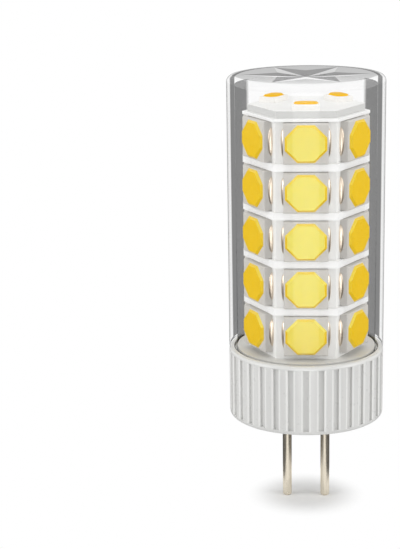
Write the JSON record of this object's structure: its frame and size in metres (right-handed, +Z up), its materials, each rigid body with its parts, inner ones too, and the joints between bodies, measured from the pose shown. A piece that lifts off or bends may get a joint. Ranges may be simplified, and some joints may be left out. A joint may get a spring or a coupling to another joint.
{
  "type": "corn led bulb",
  "caption": "Bi-pin LED corn bulb: six-sided column of LEDs under a clear cylindrical cover, on a ribbed ceramic base with two contact pins.",
  "frame": {"origin": "middle of the base's underside, between the two contact pins", "axes": "+Z up along the bulb's axis, pins point down along -Z, pins spaced along X, LED face 1 looks along -Y"},
  "size_m": [0.016, 0.016, 0.045],
  "materials": {
    "ceramic": "white, satin glaze",
    "pin_metal": "nickel plate",
    "clear_cover": "clear polycarbonate, polished",
    "adhesive": "white silicone",
    "board": "white solder mask on aluminium",
    "ring": "white moulded plastic",
    "led_package": "light grey moulded package",
    "phosphor": "yellow phosphor in clear resin",
    "solder": "bright solder",
    "driver_board": "green solder mask",
    "black_epoxy": "black moulding compound",
    "capacitor": "plain can",
    "wire": "tinned header pin"
  },
  "bodies": {
    "root": {"base": "ceramic", "board_rings": "ring", "capacitor": "capacitor", "column_disc": "board", "contact_pin_left": "pin_metal", "contact_pin_right": "pin_metal", "cover": "clear_cover", "cover_adhesive": "adhesive", "driver_board": "driver_board", "driver_chip": "black_epoxy", "led_1_1": "led_package", "led_1_2": "led_package", "led_1_3": "led_package", "led_1_4": "led_package", "led_1_5": "led_package", "led_2_1": "led_package", "led_2_2": "led_package", "led_2_3": "led_package", "led_2_4": "led_package", "led_2_5": "led_package", "led_3_1": "led_package", "led_3_2": "led_package", "led_3_3": "led_package", "led_3_4": "led_package", "led_3_5": "led_package", "led_4_1": "led_package", "led_4_2": "led_package", "led_4_3": "led_package", "led_4_4": "led_package", "led_4_5": "led_package", "led_5_1": "led_package", "led_5_2": "led_package", "led_5_3": "led_package", "led_5_4": "led_package", "led_5_5": "led_package", "led_6_1": "led_package", "led_6_2": "led_package", "led_6_3": "led_package", "led_6_4": "led_package", "led_6_5": "led_package", "led_board_1": "board", "led_board_2": "board", "led_board_3": "board", "led_board_4": "board", "led_board_5": "board", "led_board_6": "board", "link_pins": "wire", "phosphor_1": "phosphor", "phosphor_2": "phosphor", "phosphor_3": "phosphor", "phosphor_4": "phosphor", "phosphor_5": "phosphor", "phosphor_6": "phosphor", "rectifier": "black_epoxy", "solder_joints": "solder", "top_board": "board", "top_led_1": "led_package", "top_led_2": "led_package", "top_led_3": "led_package", "top_phosphors": "phosphor"}
  },
  "joints": []
}
